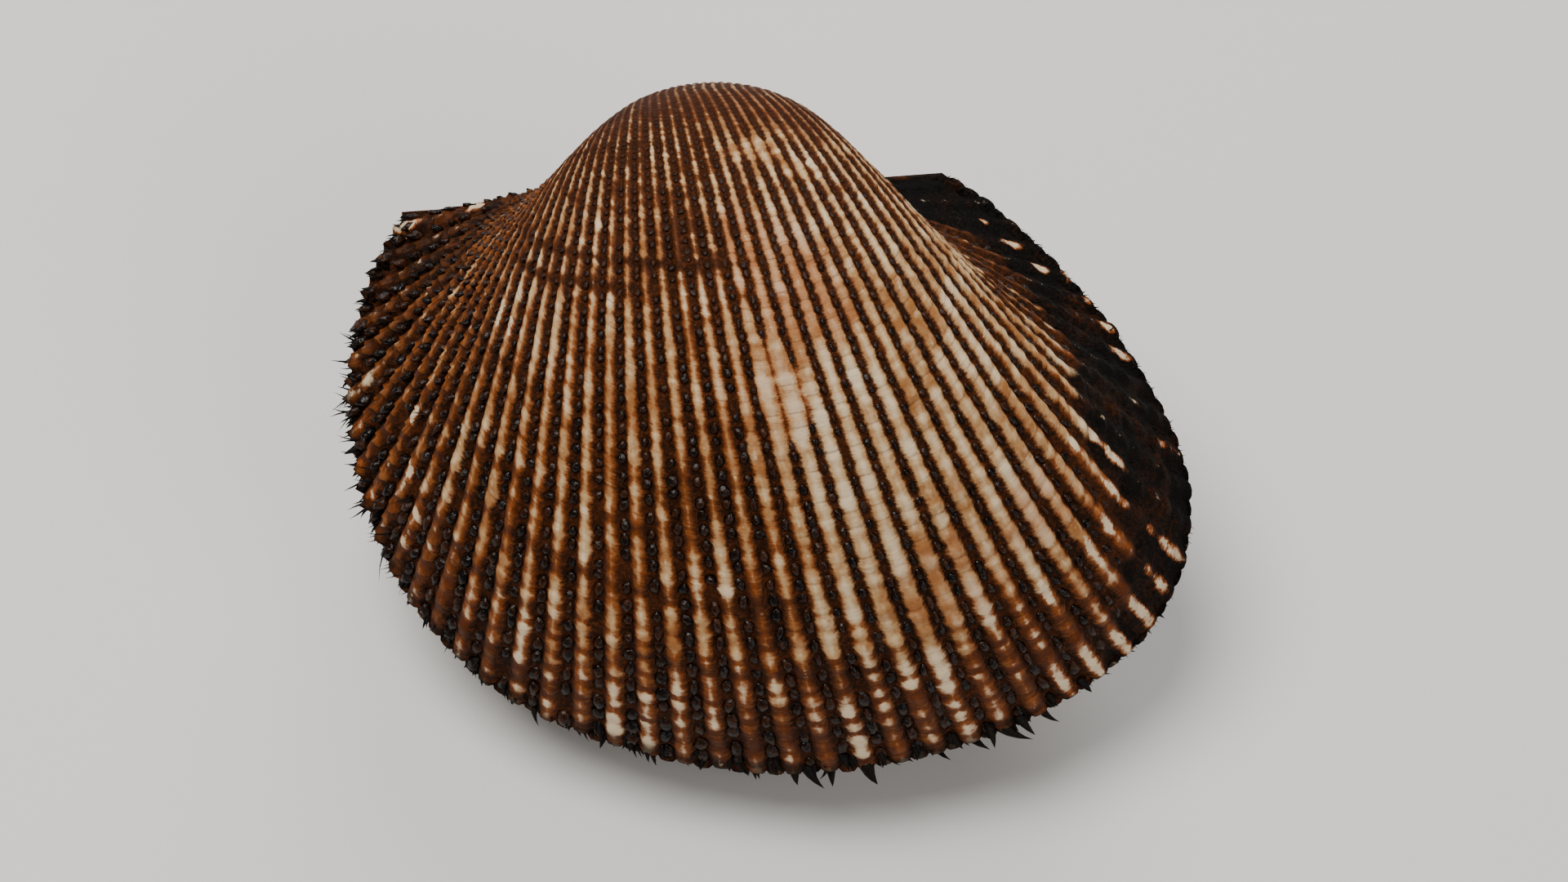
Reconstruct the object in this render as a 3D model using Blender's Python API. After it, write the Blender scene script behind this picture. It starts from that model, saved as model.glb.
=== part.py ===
"""Ark clam shell, closed: two ribbed valves and the ligament that holds them at the hinge.

Each valve is swept by its own margin. Going back through the shell's growth, the margin
turns about an axis beside the hinge and shrinks at a constant rate, as a logarithmic
spiral, so that it draws the swollen back of the valve and ends in the curled beak.
Ribs run along the spiral, from the beak to the margin.

Valve frame, in metres: x from the front of the shell to its rear, y toward the hinge, z away
from the plane where the valves meet. Its origin lies below the point the spiral winds to.
The finished shell is laid on its right valve, in the position it comes to rest in.
"""

import math

import bpy
import numpy as np
from mathutils import Matrix, Vector

# Margin of the left valve in the plane where the valves meet, from the front end of the
# hinge line, round the lower edge, to the rear end of the hinge line
MARGIN = (
    (-0.0281, -0.0019), (-0.0317, -0.0079), (-0.0338, -0.0154), (-0.0340, -0.0223),
    (-0.0327, -0.0300), (-0.0290, -0.0385), (-0.0218, -0.0466), (-0.0122, -0.0519),
    (-0.0011, -0.0551), (0.0109, -0.0558), (0.0230, -0.0536), (0.0330, -0.0493),
    (0.0405, -0.0429), (0.0438, -0.0343), (0.0427, -0.0259), (0.0383, -0.0169),
    (0.0332, -0.0101), (0.0295, -0.0062), (0.0260, -0.0031), (0.0222, -0.0005),
)
MARGIN_CENTRE = (0.0045, -0.0290)
CURVE_STEPS = 24             # for each stretch between two points of the margin

# Growth spiral
GROWTH_RATE = 0.703          # shrinkage for each radian of turn
YOUNG_WIDTH_POWER = 0.92     # below 1, so the young shell is wider than the old one
APEX_HEIGHT = 0.0015         # the point the spiral winds to, above the meeting plane
AXIS_LIFT = math.radians(3.8)

# Ribs
RIB_COUNT = 50
RIB_HEIGHT = 0.0009
RIB_FLAT = 0.5               # share of a rib's pitch that its flat top takes
RIB_LEAN = 0.068             # share of the margin that the ribs lean forward at the turn LEAN_TURN
LEAN_TURN = math.radians(107)
LEAN_TURN_MAX = math.radians(120)
LEAN_POWER = 2.1             # the lean grows with this power of the turn
FRINGE_REACH = 0.0014        # tufts of the skin, which stand out past the margin in each furrow

# Wall
WALL = 0.0031                # measured in the plane of the margin
MARGIN_RADIUS = 0.033
VALVE_GAP = 0.0003

# Turns at which the mesh has a row, in degrees
RIBBED_TURNS = (0, 7, 17, 28, 40, 53, 67, 82, 98, 115, 133)
BEAK_TURNS = (152, 170)
BEAK_END_TURN = 195
INNER_TURNS = (10, 28, 49, 71, 95)
INNER_END_TURN = 112

# Ligament
LIGAMENT_TURN = math.radians(50)
LIGAMENT_GAP = 0.0004
LIGAMENT_STATIONS = 15
LIGAMENT_REACH = 0.66        # share of the hinge line that it covers
LIGAMENT_FOOT_TURN = 0.06
LIGAMENT_CROWN = 0.0003      # height of its ridge
LIGAMENT_END = 0.02          # how blunt its ends are
LIGAMENT_THIN = 0.0001       # its least half thickness

# Mesh
SHARP_ANGLE = math.radians(35)
NORMAL_STEP = 1e-3           # in shares of the margin and in radians
SAME_SHARE = 1e-6

# Rest on the right valve
REST_ROLL = math.radians(23.0)     # about x: raises the hinge and lowers the opposite edge
REST_PITCH = math.radians(-4.7)    # about y: raises the rear end


def clear_scene():
    for item in list(bpy.data.objects):
        bpy.data.objects.remove(item, do_unlink=True)


def margin_points(shares):
    """Points of the margin at the given shares of its length, on a smooth curve through MARGIN."""
    knots = np.array(MARGIN)
    ends = (2 * knots[0] - knots[1], 2 * knots[-1] - knots[-2])
    padded = np.vstack((ends[0], knots, ends[1]))
    steps = np.linspace(0.0, 1.0, CURVE_STEPS, endpoint=False)[:, None]
    pieces = []
    for before, start, end, after in zip(padded, padded[1:], padded[2:], padded[3:]):
        pieces.append(0.5 * (2 * start + (end - before) * steps
                             + (2 * before - 5 * start + 4 * end - after) * steps ** 2
                             + (3 * start - before - 3 * end + after) * steps ** 3))
    curve = np.vstack(pieces + [knots[-1:]])
    length = np.concatenate(((0.0,), np.cumsum(np.linalg.norm(np.diff(curve, axis=0), axis=1))))
    at = np.asarray(shares) * length[-1]
    return np.column_stack((np.interp(at, length, curve[:, 0]), np.interp(at, length, curve[:, 1])))


def leaned(shares, turn):
    """Where ribs that end at the given shares of the margin lie, at an earlier turn."""
    reach = (min(turn, LEAN_TURN_MAX) / LEAN_TURN) ** LEAN_POWER
    return shares - RIB_LEAN * reach * np.sin(math.pi * shares)


def grown(flat_points, turn):
    """Points of the margin plane, carried back by a turn along the growth spiral."""
    size = math.exp(-GROWTH_RATE * turn)
    local = np.column_stack((flat_points, np.full(len(flat_points), -APEX_HEIGHT)))
    local = local * (size ** YOUNG_WIDTH_POWER, size, size)
    axis = Vector((math.cos(AXIS_LIFT), 0.0, math.sin(AXIS_LIFT)))
    spin = np.array(Matrix.Rotation(-turn, 3, axis))
    return local @ spin.T + (0.0, 0.0, APEX_HEIGHT)


def outward(shares, turn):
    """Unit normals of the valve's back at the given shares and turn."""
    ahead = grown(margin_points(np.clip(shares + NORMAL_STEP, 0, 1)), turn)
    behind = grown(margin_points(np.clip(shares - NORMAL_STEP, 0, 1)), turn)
    older = grown(margin_points(shares), turn)
    younger = grown(margin_points(shares), turn + NORMAL_STEP)
    normal = np.cross(ahead - behind, younger - older)
    return normal / np.linalg.norm(normal, axis=1)[:, None]


def rib_columns(offset):
    """Shares of the margin where the mesh has a column, and which of them are furrows."""
    shares = [0.0, 1.0]
    furrow = [False, False]
    half_flat = RIB_FLAT / 2
    for rib in range(-1, RIB_COUNT + 1):
        for phase, low in ((0.0, True), (0.5 - half_flat, False), (0.5 + half_flat, False)):
            share = (rib + offset + phase) / RIB_COUNT
            if SAME_SHARE < share < 1 - SAME_SHARE:
                shares.append(share)
                furrow.append(low)
    order = np.argsort(shares)
    return np.array(shares)[order], np.array(furrow)[order]


def ribbed_row(shares, furrow, turn):
    """One row across the valve's back, with its furrows sunk and its fringe at the margin."""
    at = leaned(shares, turn)
    row = grown(margin_points(at), turn)
    depth = RIB_HEIGHT * math.exp(-GROWTH_RATE * turn)
    row = row - outward(at, turn) * np.where(furrow, depth, 0.0)[:, None]
    if turn == 0.0:
        edge = margin_points(shares)
        out = edge - MARGIN_CENTRE
        out = out / np.linalg.norm(out, axis=1)[:, None]
        row[:, :2] = edge + out * np.where(furrow, FRINGE_REACH, 0.0)[:, None]
        row[:, 2] = 0.0
    return row


def inner_row(shares, turn):
    """One row of the valve's smooth inside, drawn in from the margin by the wall."""
    at = leaned(shares, turn)
    shrink = 1.0 - WALL / (math.exp(-GROWTH_RATE * turn) * MARGIN_RADIUS)
    flat = np.array(MARGIN_CENTRE) + (margin_points(at) - MARGIN_CENTRE) * shrink
    return grown(flat, turn)


class Skin:
    """Vertices and faces of a closed body, gathered row by row."""

    def __init__(self):
        self.points = []
        self.faces = []

    def row(self, points):
        first = len(self.points)
        self.points.extend(tuple(point) for point in points)
        return list(range(first, len(self.points)))

    def join(self, lower, lower_at, upper, upper_at):
        """Faces between two rows that may differ in their number of points."""
        low = high = 0
        while low < len(lower) - 1 or high < len(upper) - 1:
            next_low = lower_at[low + 1] if low < len(lower) - 1 else math.inf
            next_high = upper_at[high + 1] if high < len(upper) - 1 else math.inf
            if abs(next_low - next_high) < SAME_SHARE:
                self.faces.append((lower[low], lower[low + 1], upper[high + 1], upper[high]))
                low += 1
                high += 1
            elif next_low < next_high:
                self.faces.append((lower[low], lower[low + 1], upper[high]))
                low += 1
            else:
                self.faces.append((lower[low], upper[high + 1], upper[high]))
                high += 1
        self.faces.append((lower[-1], lower[0], upper[0], upper[-1]))

    def close(self, ring, tip):
        """A fan of faces from the last ring to a tip."""
        centre = self.row([tip])[0]
        for start, end in zip(ring, ring[1:] + ring[:1]):
            self.faces.append((start, end, centre))

    def volume(self):
        total = 0.0
        points = np.array(self.points)
        for face in self.faces:
            for second, third in zip(face[1:], face[2:]):
                total += np.dot(points[face[0]], np.cross(points[second], points[third])) / 6
        return total


def valve_skin(offset):
    """The left valve's closed surface. The offset moves its ribs along the margin, in rib widths."""
    skin = Skin()
    fine, furrow = rib_columns(offset)
    coarse = np.linspace(0.0, 1.0, RIB_COUNT + 1)
    rows = [skin.row(ribbed_row(fine, furrow, math.radians(turn))) for turn in RIBBED_TURNS]
    for lower, upper in zip(rows, rows[1:]):
        skin.join(lower, fine, upper, fine)
    last, last_at = rows[-1], fine
    for turn in BEAK_TURNS:
        at = leaned(coarse, math.radians(turn))
        row = skin.row(grown(margin_points(at), math.radians(turn)))
        skin.join(last, last_at, row, coarse)
        last, last_at = row, coarse
    centre = np.array([MARGIN_CENTRE])
    skin.close(last, grown(centre, math.radians(BEAK_END_TURN))[0])
    last = skin.row(inner_row(coarse, 0.0))
    skin.join(last, coarse, rows[0], fine)
    for turn in INNER_TURNS:
        row = skin.row(inner_row(coarse, math.radians(turn)))
        skin.join(row, coarse, last, coarse)
        last = row
    skin.close(last[::-1], grown(centre, math.radians(INNER_END_TURN))[0])
    return skin


def lift_and_mirror(skin, side):
    """Lift the valve off the meeting plane by half the gap, and mirror it for the other side."""
    points = np.array(skin.points)
    points[:, 2] = (points[:, 2] + VALVE_GAP / 2) * side
    skin.points = [tuple(point) for point in points]
    if skin.volume() < 0:
        skin.faces = [face[::-1] for face in skin.faces]


def hinge_groove(across, turn):
    """A point of the area that the hinge line sweeps, between its front (0) and rear (1) ridge."""
    ends = grown(np.array((MARGIN[0], MARGIN[-1])), turn)
    return ends[0] + (ends[1] - ends[0]) * across


def ligament_skin():
    """A dark strip that fills the bottom of the groove between the two hinge areas."""
    skin = Skin()
    rings = []
    for station in range(LIGAMENT_STATIONS):
        spread = 2 * station / (LIGAMENT_STATIONS - 1) - 1
        across = 0.5 + 0.5 * LIGAMENT_REACH * spread
        turn = LIGAMENT_TURN * math.sqrt(max(1 - spread ** 2, LIGAMENT_END))
        foot = hinge_groove(across, LIGAMENT_FOOT_TURN)
        middle = hinge_groove(across, turn / 2)
        top = hinge_groove(across, turn)
        foot_y, middle_y, top_y = (point[1] + LIGAMENT_GAP for point in (foot, middle, top))
        middle_z = max(middle[2] - LIGAMENT_GAP, LIGAMENT_THIN)
        top_z = max(top[2] - LIGAMENT_GAP, 2 * LIGAMENT_THIN)
        crown_y = max(foot_y, top_y) + LIGAMENT_CROWN
        x = foot[0]
        section = ((x, foot_y, 0.0), (x, middle_y, middle_z), (x, top_y, top_z),
                   (x, crown_y, 0.0), (x, top_y, -top_z), (x, middle_y, -middle_z))
        rings.append(skin.row(section))
    for ring, following in zip(rings, rings[1:]):
        for index in range(len(ring)):
            after = (index + 1) % len(ring)
            skin.faces.append((ring[index], ring[after], following[after], following[index]))
    skin.faces.append(tuple(rings[0][::-1]))
    skin.faces.append(tuple(rings[-1]))
    if skin.volume() < 0:
        skin.faces = [face[::-1] for face in skin.faces]
    return skin


def material(name, colour, roughness):
    made = bpy.data.materials.new(name)
    made.use_nodes = True
    shader = made.node_tree.nodes["Principled BSDF"]
    shader.inputs["Base Color"].default_value = (*colour, 1.0)
    shader.inputs["Roughness"].default_value = roughness
    shader.inputs["Metallic"].default_value = 0.0
    return made


def add_body(name, skin, finish, collection):
    mesh = bpy.data.meshes.new(name)
    mesh.from_pydata(skin.points, [], skin.faces)
    mesh.materials.append(finish)
    mesh.update()
    mesh.shade_smooth()
    mesh.set_sharp_from_angle(angle=SHARP_ANGLE)
    body = bpy.data.objects.new(name, mesh)
    collection.objects.link(body)
    return body


def lay_down(bodies):
    """Turn the shell to its resting position, with the middle of its box's underside at the origin."""
    turn = Matrix.Rotation(REST_PITCH, 4, "Y") @ Matrix.Rotation(REST_ROLL, 4, "X")
    corners = np.array([turn @ vertex.co for body in bodies for vertex in body.data.vertices])
    low, high = corners.min(axis=0), corners.max(axis=0)
    centre = (low + high) / 2
    place = Matrix.Translation((-centre[0], -centre[1], -low[2])) @ turn
    for body in bodies:
        body.matrix_world = place


def build():
    clear_scene()
    collection = bpy.data.collections.new("ark_clam_shell")
    bpy.context.scene.collection.children.link(collection)
    left = valve_skin(0.0)
    lift_and_mirror(left, 1)
    right = valve_skin(0.5)
    lift_and_mirror(right, -1)
    shell = material("ribbed shell", (0.36, 0.20, 0.10), 0.5)
    other_shell = material("ribbed shell of the lower valve", (0.33, 0.18, 0.09), 0.5)
    leather = material("dried ligament", (0.025, 0.016, 0.011), 0.6)
    bodies = [
        add_body("left_valve", left, shell, collection),
        add_body("right_valve", right, other_shell, collection),
        add_body("ligament", ligament_skin(), leather, collection),
    ]
    lay_down(bodies)


build()
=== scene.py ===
"""The looks of a closed ark clam shell.

Each valve is swept from its margin along a growth spiral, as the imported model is, but with
every rib, knob and growth step drawn. The dark skin that dries in the furrows is a piece of
its own on each valve, and so are the tufts and hairs that stand up from it.

Valve frame, in metres: x from the front of the shell to its rear, y toward the hinge, z away
from the plane where the valves meet.
"""

import math

import bpy
import numpy as np
from mathutils import Matrix, Vector


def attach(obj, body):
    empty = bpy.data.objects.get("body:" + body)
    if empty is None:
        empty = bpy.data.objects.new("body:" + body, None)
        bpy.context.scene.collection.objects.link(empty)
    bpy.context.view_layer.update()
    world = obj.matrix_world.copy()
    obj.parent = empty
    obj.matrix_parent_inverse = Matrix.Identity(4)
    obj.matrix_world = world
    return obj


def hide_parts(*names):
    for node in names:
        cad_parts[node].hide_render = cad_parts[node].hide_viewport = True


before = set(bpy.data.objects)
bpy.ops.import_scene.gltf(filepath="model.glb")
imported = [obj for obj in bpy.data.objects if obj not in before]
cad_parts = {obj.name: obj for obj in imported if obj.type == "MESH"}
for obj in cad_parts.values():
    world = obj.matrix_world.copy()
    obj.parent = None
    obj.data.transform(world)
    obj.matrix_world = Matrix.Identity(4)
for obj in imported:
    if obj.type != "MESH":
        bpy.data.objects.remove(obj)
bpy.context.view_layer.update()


# The valve's form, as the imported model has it

# Margin of the left valve, from the front end of the hinge line to the rear end
MARGIN = (
    (-0.0281, -0.0019), (-0.0317, -0.0079), (-0.0338, -0.0154), (-0.0340, -0.0223),
    (-0.0327, -0.0300), (-0.0290, -0.0385), (-0.0218, -0.0466), (-0.0122, -0.0519),
    (-0.0011, -0.0551), (0.0109, -0.0558), (0.0230, -0.0536), (0.0330, -0.0493),
    (0.0405, -0.0429), (0.0438, -0.0343), (0.0427, -0.0259), (0.0383, -0.0169),
    (0.0332, -0.0101), (0.0295, -0.0062), (0.0260, -0.0031), (0.0222, -0.0005),
)
MARGIN_CENTRE = np.array((0.0045, -0.0290))
CURVE_STEPS = 24  # for each stretch between two points of the margin

GROWTH_RATE = 0.703  # shrinkage for each radian of turn
YOUNG_WIDTH_POWER = 0.92  # below 1, so the young shell is wider than the old one
APEX_HEIGHT = 0.0015  # the point the spiral winds to, above the meeting plane
AXIS_LIFT = math.radians(3.8)

RIB_COUNT = 50
RIB_LEAN = 0.068  # how far the ribs lean forward at the turn LEAN_TURN
LEAN_TURN = math.radians(107)
LEAN_TURN_MAX = math.radians(120)
LEAN_POWER = 2.1

WALL = 0.0044  # measured in the plane of the margin; the inside isn't seen
MARGIN_RADIUS = 0.033
VALVE_GAP = 0.0003

LIGAMENT_TURN = math.radians(50)
LIGAMENT_GAP = 0.0004
LIGAMENT_REACH = 0.66  # share of the hinge line that it covers
LIGAMENT_FOOT_TURN = 0.06
LIGAMENT_CROWN = 0.0003  # height of its ridge
LIGAMENT_END = 0.02  # how blunt its ends are
LIGAMENT_THIN = 0.0001  # its least half thickness
LIGAMENT_CRACK = 0.10  # depth of its cracks, as a share of its size
LIGAMENT_RINGS = 161
LIGAMENT_QUARTER = 6

# How the shell lies on the floor
REST_ROLL = math.radians(23.0)
REST_PITCH = math.radians(-4.7)
REST_PLACE = Vector((-0.005727, 0.02114, 0.031341))
REST = (Matrix.Translation(REST_PLACE) @ Matrix.Rotation(REST_PITCH, 4, "Y")
        @ Matrix.Rotation(REST_ROLL, 4, "X"))

# Rows and columns of the detailed valves
COLUMNS_PER_RIB = 6
HINGE_COLUMNS = 16
BACK_ROWS = 290
ROW_CROWDING = 0.25  # how much closer the rows are at the margin
BACK_END_TURN = math.radians(133)
BEAK_TURNS = np.radians((138, 144, 150, 158, 166, 174, 182, 190))
BEAK_END_TURN = math.radians(195)
INNER_TURNS = np.radians((0, 5, 12, 24, 40, 58, 78, 98))
INNER_END_TURN = math.radians(112)

# Furrows, knobs and steps, as shares of the size that the shell had when it grew them
FURROW_SLOPE = 0.36  # width of a furrow's side, in ribs
FURROW_DEPTH = 0.00062  # down to the skin that fills the furrow
CROWN_HEIGHT = 0.00012
EDGE_SCALES = 0.004  # share of the margin where scales line the hinge's front end
CREST_DROP = 0.00030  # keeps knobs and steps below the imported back
KNOB_HEIGHT = 0.00011
STEP_HEIGHT = 0.00016
SHINGLE_HEIGHT = 0.00048
GRAIN_HEIGHT = 0.00005
ROUGH_HEIGHT = 0.00012  # the coarser grain of the velvet and the ear
SCALE_POINT = 0.55  # how far a scale's tip lies ahead of its sides, in knobs
KNOB_SPACING = 0.64  # along a rib, in rib widths
GROWTH_STEPS = (  # turn in degrees, strength
    (63.5, 1.0), (58.0, 0.9), (40.5, 0.5), (27.0, 0.4), (20.5, 0.6), (13.0, 0.7), (4.0, 0.6),
    (78.0, 0.3), (91.0, 0.4),
)

# Tufts at the margin: how far they reach past it, by share of the margin
TUFT_SHARES = (0.0, 0.05, 0.12, 0.20, 0.30, 0.44, 0.49, 0.60, 0.64, 0.70, 1.0)
LONG_TUFTS = (0.0002, 0.0009, 0.0010, 0.0006, 0.0008, 0.0011, 0.0021, 0.0022, 0.0012, 0.0003,
              0.0002)
SHORT_TUFTS = (0.0002, 0.0005, 0.0006, 0.0006, 0.0007, 0.0008, 0.0008, 0.0007, 0.0004, 0.0002,
               0.0002)

# Number of tufts in each furrow, their reach, how far they stray and their half width, in ribs
FRINGE = ((4, SHORT_TUFTS, 0.24, 0.16), (1, LONG_TUFTS, 0.05, 0.24))

# Points and hairs on the beads: number, shares of the margin, degrees back from it, lengths
SCALE_TIPS = (
    (380, (0.02, 0.28), (0, 62), (0.0006, 0.0012)),
    (60, (0.04, 0.22), (0, 25), (0.0012, 0.0019)),
    (45, (0.06, 0.22), (0, 3), (0.0014, 0.0024)),
    (90, (0.28, 0.70), (0, 45), (0.0003, 0.0007)),
)
TIP_WIDTH_MAX = 0.00014  # half the width of the broadest one
LEFT_VELVET_HAIRS = 7000
RIGHT_VELVET_HAIRS = 2500
ROOT_DEPTH = 0.0003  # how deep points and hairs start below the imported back's relief

# The skin that dries in the furrows
BEAD_HEIGHT = 0.00058
FRONT_BEAD_HEIGHT = 0.00040
DOME_BASE = 0.45  # depth of a bead's foot, as a share of its height
BEAD_SIDES = 9
BEAD_RINGS = 3
BEAD_END_TURN = math.radians(108)
BEAD_JITTER = 0.22  # along the furrow, in knobs
BEAD_CHANCE = 0.96
EDGE_SCALE_SHRINK = 0.45  # how much smaller the scales at the hinge are


def smooth(low, high, value):
    """0 below low, 1 above high, and a smooth change between them."""
    share = np.clip((value - low) / (high - low), 0.0, 1.0)
    return share * share * (3 - 2 * share)


def bell(centre, reach, value):
    """1 at the centre, falling to a third at the reach."""
    return np.exp(-((value - centre) / reach) ** 2)


def cell_noise(x, y, seed):
    """Smooth noise between 0 and 1, with one random value for each whole x and y."""
    table = np.random.default_rng(seed).random((128, 128))
    column, row = np.floor(x).astype(int), np.floor(y).astype(int)
    across, along = smooth(0, 1, x - column), smooth(0, 1, y - row)

    def row_value(shift):
        return (table[column % 128, (row + shift) % 128] * (1 - across)
                + table[(column + 1) % 128, (row + shift) % 128] * across)

    return row_value(0) * (1 - along) + row_value(1) * along


def margin_curve():
    """A smooth curve through MARGIN, and the length of it up to each of its points."""
    knots = np.array(MARGIN)
    padded = np.vstack((2 * knots[0] - knots[1], knots, 2 * knots[-1] - knots[-2]))
    steps = np.linspace(0.0, 1.0, CURVE_STEPS, endpoint=False)[:, None]
    stretches = []
    for before, start, end, after in zip(padded, padded[1:], padded[2:], padded[3:]):
        stretches.append(0.5 * (2 * start + (end - before) * steps
                                + (2 * before - 5 * start + 4 * end - after) * steps ** 2
                                + (3 * start - before - 3 * end + after) * steps ** 3))
    curve = np.vstack(stretches + [knots[-1:]])
    length = np.concatenate(((0.0,), np.cumsum(np.linalg.norm(np.diff(curve, axis=0), axis=1))))
    return curve, length


MARGIN_CURVE, MARGIN_LENGTH = margin_curve()


def margin_points(shares):
    at = np.clip(shares, 0.0, 1.0) * MARGIN_LENGTH[-1]
    return np.stack([np.interp(at, MARGIN_LENGTH, axis) for axis in MARGIN_CURVE.T], axis=-1)


def size_at(turns):
    return np.exp(-GROWTH_RATE * turns)


def leaned(shares, turns):
    """Where ribs that end at the given shares of the margin lie, at an earlier turn."""
    reach = (np.minimum(turns, LEAN_TURN_MAX) / LEAN_TURN) ** LEAN_POWER
    return shares - RIB_LEAN * reach * np.sin(math.pi * shares)


def grown(flat_points, turns):
    """Points of the margin plane, carried back by a turn along the growth spiral."""
    size = size_at(turns)
    local = np.stack((flat_points[..., 0] * size ** YOUNG_WIDTH_POWER, flat_points[..., 1] * size,
                      -APEX_HEIGHT * size), axis=-1)
    axis = np.array((math.cos(AXIS_LIFT), 0.0, math.sin(AXIS_LIFT)))
    cosine, sine = np.cos(turns)[..., None], -np.sin(turns)[..., None]
    turned = (local * cosine + np.cross(axis, local) * sine
              + axis * (local @ axis)[..., None] * (1 - cosine))
    return turned + (0.0, 0.0, APEX_HEIGHT)


def back(shares, turns):
    """The smooth back of the valve, at the top of its ribs."""
    return grown(margin_points(leaned(shares, turns)), turns)


def unit(vectors):
    return vectors / np.maximum(np.linalg.norm(vectors, axis=-1, keepdims=True), 1e-12)


def directions(shares, turns):
    """The width of a rib at each place, and unit vectors across it, to the margin and outward."""
    step = 1e-3
    low, high = np.clip(shares - step, 0, 1), np.clip(shares + step, 0, 1)
    across = (back(high, turns) - back(low, turns)) / (high - low)[..., None]
    to_margin = (back(shares, turns) - back(shares, turns + step)) / step
    width = np.linalg.norm(across, axis=-1) / RIB_COUNT
    return width, unit(across), unit(to_margin), unit(np.cross(to_margin, across))


def knob_rate(shares):
    """Knobs in each radian of turn, which is constant along a rib."""
    none = np.zeros_like(shares)
    step = 1e-3
    run = np.linalg.norm(back(shares, none) - back(shares, none + step), axis=-1) / step
    width = MARGIN_LENGTH[-1] / RIB_COUNT
    return np.maximum(run / (KNOB_SPACING * width), 6.0)


# Where each part of the colouring lies, by share of the margin and turn in degrees

VELVET_SHARES = (0.61, 0.65, 0.67, 0.69, 0.716, 0.75, 0.785, 0.815, 0.845, 0.89, 0.92, 0.94, 0.97, 1.0)
VELVET_EDGE = (-9, -3, 1, 6, 12, 22, 23, 20, 18, 15, 17, 30, 70, 100)

# Where the furrows' dark skin is worn off, and where the ribs are blushed or sooty
WORN_PLACES = (
    (0.585, 89, 0.035, 5, 1.0), (0.63, 84, 0.03, 3, 0.7), (0.645, 96, 0.04, 4, 0.7),
    (0.523, 46, 0.022, 9, 0.9), (0.55, 88, 0.02, 3, 0.6), (0.70, 92, 0.03, 3, 0.5),
)
BLUSH_PLACES = (
    (0.62, 108, 0.06, 9, 1.0), (0.55, 62, 0.07, 14, 0.75), (0.60, 20, 0.05, 6, 0.35),
    (0.68, 22, 0.03, 5, 0.6), (0.50, 45, 0.05, 9, 0.3),
)
SOOTY_PLACES = (
    (0.335, 108, 0.05, 5, 0.9), (0.43, 106, 0.03, 4, 0.8), (0.40, 88, 0.05, 4, 0.5),
    (0.47, 68, 0.04, 7, 0.5), (0.36, 61, 0.16, 3.0, 0.22), (0.44, 33, 0.045, 4.5, 0.6),
    (0.47, 18, 0.03, 4, 0.5), (0.52, 12, 0.05, 3, 0.5),
)
PALE_SPOTS = (
    (47, 9.6, 0.6), (46, 8.8, 1.2), (45, 7.4, 1.0), (45, 0.5, 0.8), (44, 1.0, 0.5), (43, 2.0, 0.75),
    (42, 3.0, 1.0), (39, 4.0, 0.6), (37, 20.0, 0.9), (37, 15.8, 1.3), (36, 14.5, 1.5), (36, 23.0, 1.2),
    (36, 3.0, 1.1), (36, 7.0, 0.5), (35, 13.5, 1.3), (35, 5.0, 0.5), (35, 2.0, 0.8), (34, 13.2, 1.3),
    (34, 2.3, 1.4), (33, 2.0, 1.6), (32, 12.8, 1.2), (32, 2.8, 1.7), (31, 2.6, 1.4),
    (0, 3.6, 2.5), (0, 28.0, 2.0), (6, 2.8, 0.6), (7, 1.7, 0.5), (8, 2.4, 0.7), (8, 18.7, 1.0),
    (9, 13.0, 0.8), (11, 47.0, 1.6), (12, 46.5, 1.4),
)


# What the shell's material reads at each point, besides rib, knob, turn, hinge and inside
MASKS = ("stripe", "furrow", "breaks", "stain", "blush", "sooty", "velvet", "ear", "front", "lip", "rim",
         "flank", "young", "spot")


def regions(shares, turns, side):
    """Masks between 0 and 1 for the parts of the valve's back that look different."""
    degrees = np.degrees(turns)
    ribs = shares * RIB_COUNT
    drift = cell_noise(ribs * 0.5, degrees / 9, 11 + side)
    per_rib = cell_noise(np.floor(ribs), np.zeros_like(ribs), 12 + side)
    waver = 0.05 * (drift - 0.5)
    front = 1 - smooth(0.15, 0.28, shares + waver)
    rear = smooth(0.47, 0.56, shares + waver) * (1 - smooth(0.78, 0.83, shares + waver))
    edge = np.interp(shares, VELVET_SHARES, VELVET_EDGE)
    soft = 1 + 1.5 * smooth(0.82, 0.92, shares)
    velvet = smooth(-5.0, 4.0, (edge + 6 * (per_rib - 0.5) + 5 * (drift - 0.5) - degrees) / soft)
    pile = smooth(-12.0, 6.0, (edge - degrees) / soft)
    ear = (1 - smooth(0.05, 0.13, shares + waver)) * (1 - smooth(35, 75, degrees))
    flank = smooth(0.775, 0.83, shares + waver)
    lip = 1 - smooth(6, 17, degrees + 7 * (drift - 0.5))
    rim = 1 - smooth(0.4, 1.8, degrees + 0.8 * (per_rib - 0.5))
    young = smooth(90, 108, degrees + 10 * (drift - 0.5))
    return {"front": front, "rear": rear, "velvet": velvet, "pile": pile, "ear": ear, "flank": flank,
            "lip": lip, "rim": rim, "young": young, "degrees": degrees, "drift": drift}


def patches(places, shares, degrees, drift):
    """The sum of soft patches, each given as share, degrees, reach of both, and strength."""
    total = np.zeros_like(shares)
    for share, turn, share_reach, turn_reach, strength in places:
        away = ((shares - share) / share_reach) ** 2 + ((degrees - turn) / turn_reach) ** 2
        total += strength * (1 - smooth(0.45, 1.25, away + 0.8 * (drift - 0.5)))
    return total


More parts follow.
